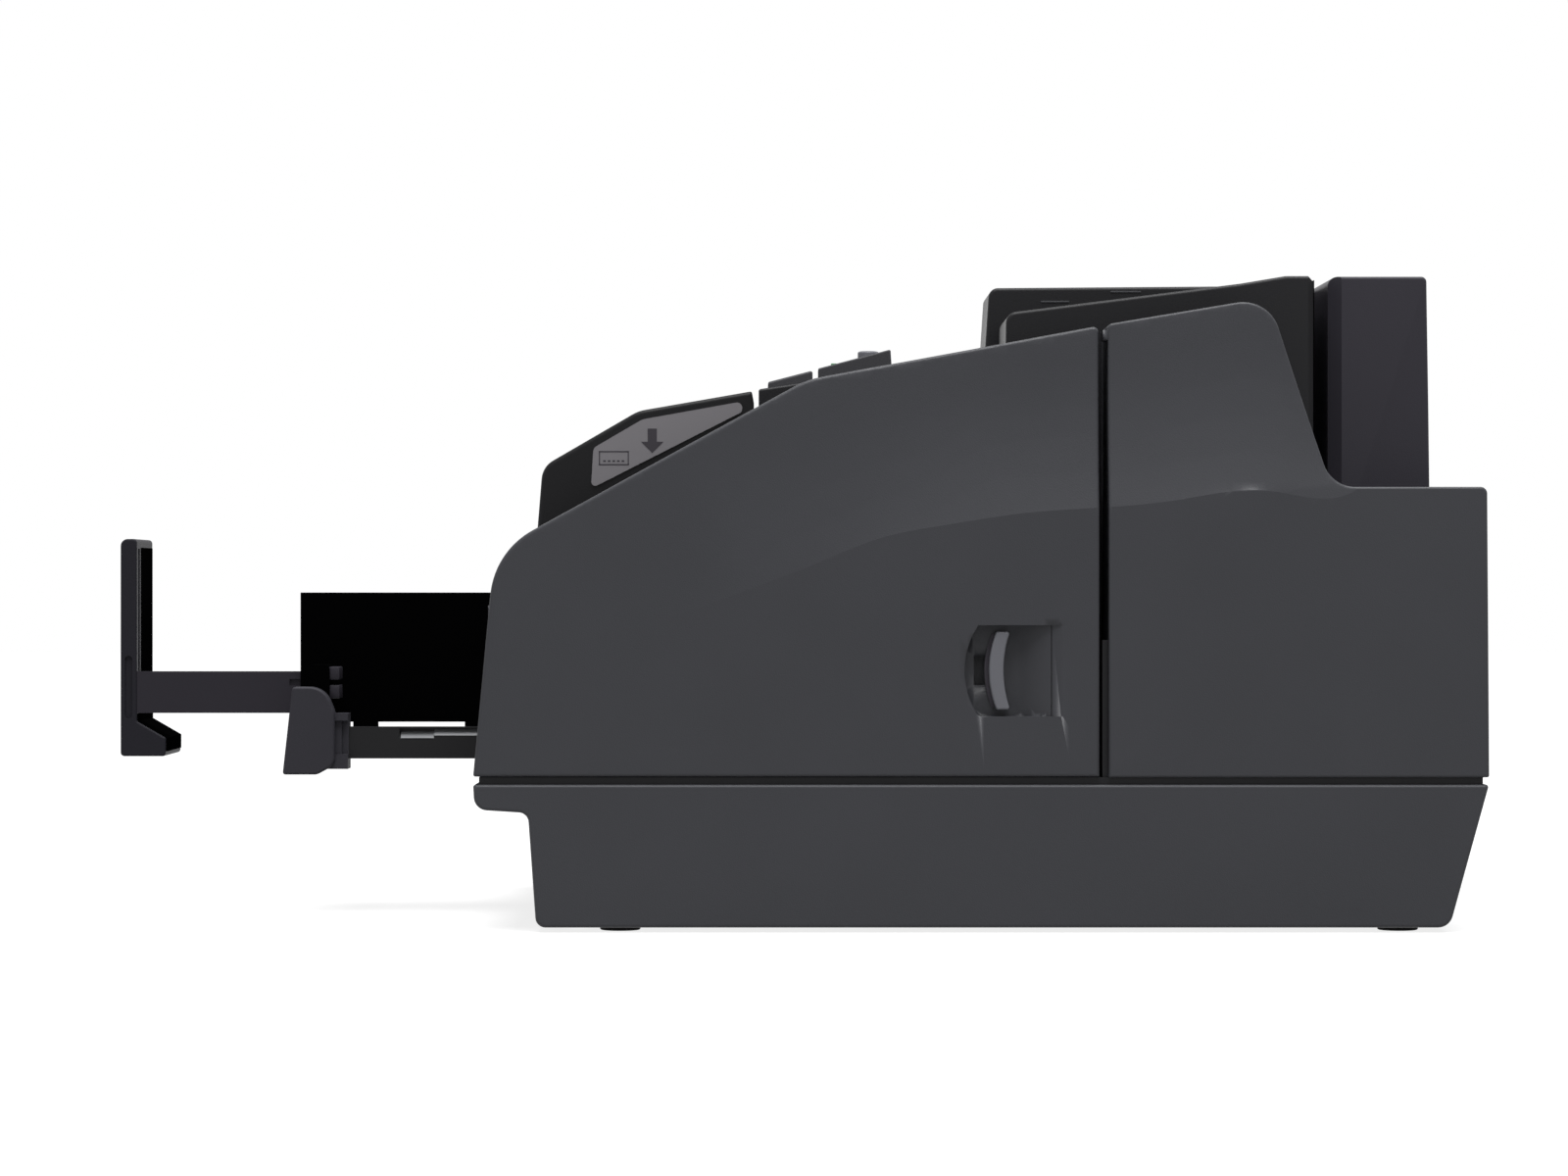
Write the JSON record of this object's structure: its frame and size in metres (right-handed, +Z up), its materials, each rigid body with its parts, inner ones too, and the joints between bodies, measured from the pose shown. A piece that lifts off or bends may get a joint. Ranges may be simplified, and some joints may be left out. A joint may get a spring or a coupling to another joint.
{
  "type": "cheque scanner",
  "caption": "Desktop cheque scanner: standing-edge hopper behind a side cover that swings open, U-shaped paper path round the rear, and two output pockets with sliding stoppers.",
  "frame": {"origin": "centre of the overall footprint, on the table top", "axes": "+Z up; +Y from the front of the machine (pockets and stoppers) to its rear; +X to the machine's right, the side with the hinged cover"},
  "size_m": [0.214, 0.414, 0.1958],
  "materials": {
    "case_plastic": "fine textured, dark grey",
    "block_plastic": "fine textured, near black",
    "black_plastic": "satin black",
    "light_plastic": "fine textured, mid grey",
    "bracket_plastic": "satin, dark grey",
    "label_film": "printed film, grey",
    "roller_rubber": "matt",
    "foot_rubber": "matt",
    "steel": "ground",
    "board": "solder mask",
    "connector": "plated",
    "sensor_housing": "matt black",
    "sensor_glass": "clear",
    "lens": "clear tinted",
    "bronze": "sintered",
    "cartridge": "satin"
  },
  "bodies": {
    "chassis": {"base_shell": "case_plastic", "rubber_feet": "foot_rubber", "base_screws": "steel", "chassis_deck": "block_plastic", "shaft_bushes": "bronze", "motor": "steel", "drive_belt": "roller_rubber", "main_board": "board", "dc_inlet": "sensor_housing", "usb_port": "connector", "cover_hinge_shaft": "steel", "latch_keeper": "bracket_plastic", "right_rear_cover": "case_plastic", "outer_guide": "block_plastic", "hopper_wall": "block_plastic", "label_plate": "label_film", "centre_casing": "block_plastic", "micr_head": "connector", "indicator_panel": "bracket_plastic", "status_lenses": "lens", "key_switches": "sensor_housing", "centre_block": "block_plastic", "rear_image_sensor": "sensor_housing", "rear_sensor_glass": "sensor_glass", "rear_block": "bracket_plastic", "rear_cover": "case_plastic", "left_casing": "block_plastic", "lid_hinge_pins": "steel", "ink_cartridge": "cartridge", "pocket_tray": "black_plastic"},
    "hinged_cover": {"scanner_cover": "case_plastic", "scanner_inner_guide": "block_plastic", "front_image_sensor": "sensor_housing", "front_sensor_glass": "sensor_glass", "micr_pressure_pad": "bracket_plastic"},
    "latch": {"latch_lever": "light_plastic", "latch_plate": "block_plastic", "latch_slider": "bracket_plastic"},
    "pusher": {"pusher_plate": "bracket_plastic"},
    "long_stop": {"main_stopper": "bracket_plastic", "main_stopper_arm": "bracket_plastic"},
    "short_stop": {"sub_stopper": "bracket_plastic", "sub_stopper_pad": "light_plastic", "sub_stopper_arm": "bracket_plastic"},
    "gate": {"diverter_gate": "black_plastic"},
    "power_key": {"power_button": "light_plastic"},
    "eject": {"eject_key": "bracket_plastic"},
    "cartridge_lid": {"cartridge_cover": "block_plastic"},
    "motor_rotor": {"motor_pulley": "bracket_plastic"},
    "pickup": {"pickup_roller": "roller_rubber"},
    "feed": {"feed_roller": "roller_rubber"},
    "drive_1": {"drive_roller_1": "roller_rubber"},
    "drive_2": {"drive_roller_2": "roller_rubber"},
    "drive_3": {"drive_roller_3": "roller_rubber"},
    "drive_4": {"drive_roller_4": "roller_rubber"},
    "retard": {"retard_roller": "roller_rubber"},
    "pinch_1": {"pinch_roller_1": "roller_rubber"},
    "pinch_2": {"pinch_roller_2": "roller_rubber"},
    "pinch_3": {"pinch_roller_3": "roller_rubber"},
    "pinch_4": {"pinch_roller_4": "roller_rubber"}
  },
  "joints": [
    {"name": "cover_hinge", "type": "hinge", "parent": "chassis", "child": "hinged_cover", "pos_m": [0.088, -0.0823, 0.07], "axis": [0, 0, -1], "range_deg": [0, 75]},
    {"name": "latch_slide", "type": "slide", "parent": "hinged_cover", "child": "latch", "axis": [0, -1, 0], "range_m": [0, 0.005], "stiffness_N_per_m": 200, "springref_m": -0.003},
    {"name": "pusher_hinge", "type": "hinge", "parent": "hinged_cover", "child": "pusher", "pos_m": [0.0814, -0.0293, 0.093], "axis": [0, 0, 1], "range_deg": [0, 20], "stiffness_Nm_per_rad": 0.02, "springref_deg": -8.59},
    {"name": "long_stop_slide", "type": "slide", "parent": "chassis", "child": "long_stop", "axis": [0, -1, 0], "range_m": [-0.048, 0]},
    {"name": "short_stop_slide", "type": "slide", "parent": "chassis", "child": "short_stop", "axis": [0, -1, 0], "range_m": [-0.036, 0]},
    {"name": "gate_hinge", "type": "hinge", "parent": "chassis", "child": "gate", "pos_m": [0.017, 0.034, 0.08], "axis": [0, 0, 1], "range_deg": [0, 12], "stiffness_Nm_per_rad": 0.02, "springref_deg": -8.59},
    {"name": "power_press", "type": "slide", "parent": "chassis", "child": "power_key", "axis": [0, 0, -1], "range_m": [0, 0.0008], "stiffness_N_per_m": 400, "springref_m": -0.001},
    {"name": "eject_press", "type": "slide", "parent": "chassis", "child": "eject", "axis": [0, 0, -1], "range_m": [0, 0.0012], "stiffness_N_per_m": 400, "springref_m": -0.001},
    {"name": "cartridge_lid_hinge", "type": "hinge", "parent": "chassis", "child": "cartridge_lid", "pos_m": [-0.02325, 0.112, 0.1558], "axis": [0, -1, 0], "range_deg": [0, 80]},
    {"name": "motor_spin", "type": "hinge", "parent": "chassis", "child": "motor_rotor", "pos_m": [0.025, 0.02, 0.025], "axis": [0, 0, 1], "continuous": true},
    {"name": "pickup_spin", "type": "hinge", "parent": "chassis", "child": "pickup", "pos_m": [0.049, 0.005, 0.095], "axis": [0, 0, 1], "continuous": true},
    {"name": "feed_spin", "type": "hinge", "parent": "chassis", "child": "feed", "pos_m": [0.058, 0.04, 0.095], "axis": [0, 0, 1], "continuous": true},
    {"name": "drive_1_spin", "type": "hinge", "parent": "chassis", "child": "drive_1", "pos_m": [0.059, 0.085, 0.095], "axis": [0, 0, 1], "continuous": true},
    {"name": "drive_2_spin", "type": "hinge", "parent": "chassis", "child": "drive_2", "pos_m": [0.059, 0.128, 0.095], "axis": [0, 0, 1], "continuous": true},
    {"name": "drive_3_spin", "type": "hinge", "parent": "chassis", "child": "drive_3", "pos_m": [0.025, 0.128, 0.095], "axis": [0, 0, 1], "continuous": true},
    {"name": "drive_4_spin", "type": "hinge", "parent": "chassis", "child": "drive_4", "pos_m": [0.025, 0.08, 0.095], "axis": [0, 0, 1], "continuous": true},
    {"name": "retard_spin", "type": "hinge", "parent": "hinged_cover", "child": "retard", "pos_m": [0.07585, 0.04, 0.095], "axis": [0, 0, 1], "continuous": true},
    {"name": "pinch_1_spin", "type": "hinge", "parent": "hinged_cover", "child": "pinch_1", "pos_m": [0.073, 0.085, 0.095], "axis": [0, 0, 1], "continuous": true},
    {"name": "pinch_2_spin", "type": "hinge", "parent": "chassis", "child": "pinch_2", "pos_m": [0.073, 0.128, 0.095], "axis": [0, 0, 1], "continuous": true},
    {"name": "pinch_3_spin", "type": "hinge", "parent": "chassis", "child": "pinch_3", "pos_m": [0.011, 0.128, 0.095], "axis": [0, 0, 1], "continuous": true},
    {"name": "pinch_4_spin", "type": "hinge", "parent": "chassis", "child": "pinch_4", "pos_m": [0.011, 0.08, 0.095], "axis": [0, 0, 1], "continuous": true}
  ],
  "couplings": [
    {"joint": "pickup_spin", "follows": "motor_spin", "ratio": 1},
    {"joint": "feed_spin", "follows": "motor_spin", "ratio": 1},
    {"joint": "drive_1_spin", "follows": "motor_spin", "ratio": 1},
    {"joint": "drive_2_spin", "follows": "motor_spin", "ratio": 1},
    {"joint": "drive_3_spin", "follows": "motor_spin", "ratio": 1},
    {"joint": "drive_4_spin", "follows": "motor_spin", "ratio": 1},
    {"joint": "pinch_2_spin", "follows": "motor_spin", "ratio": -1.8247},
    {"joint": "pinch_3_spin", "follows": "motor_spin", "ratio": -1.8247},
    {"joint": "pinch_4_spin", "follows": "motor_spin", "ratio": -1.8247}
  ]
}
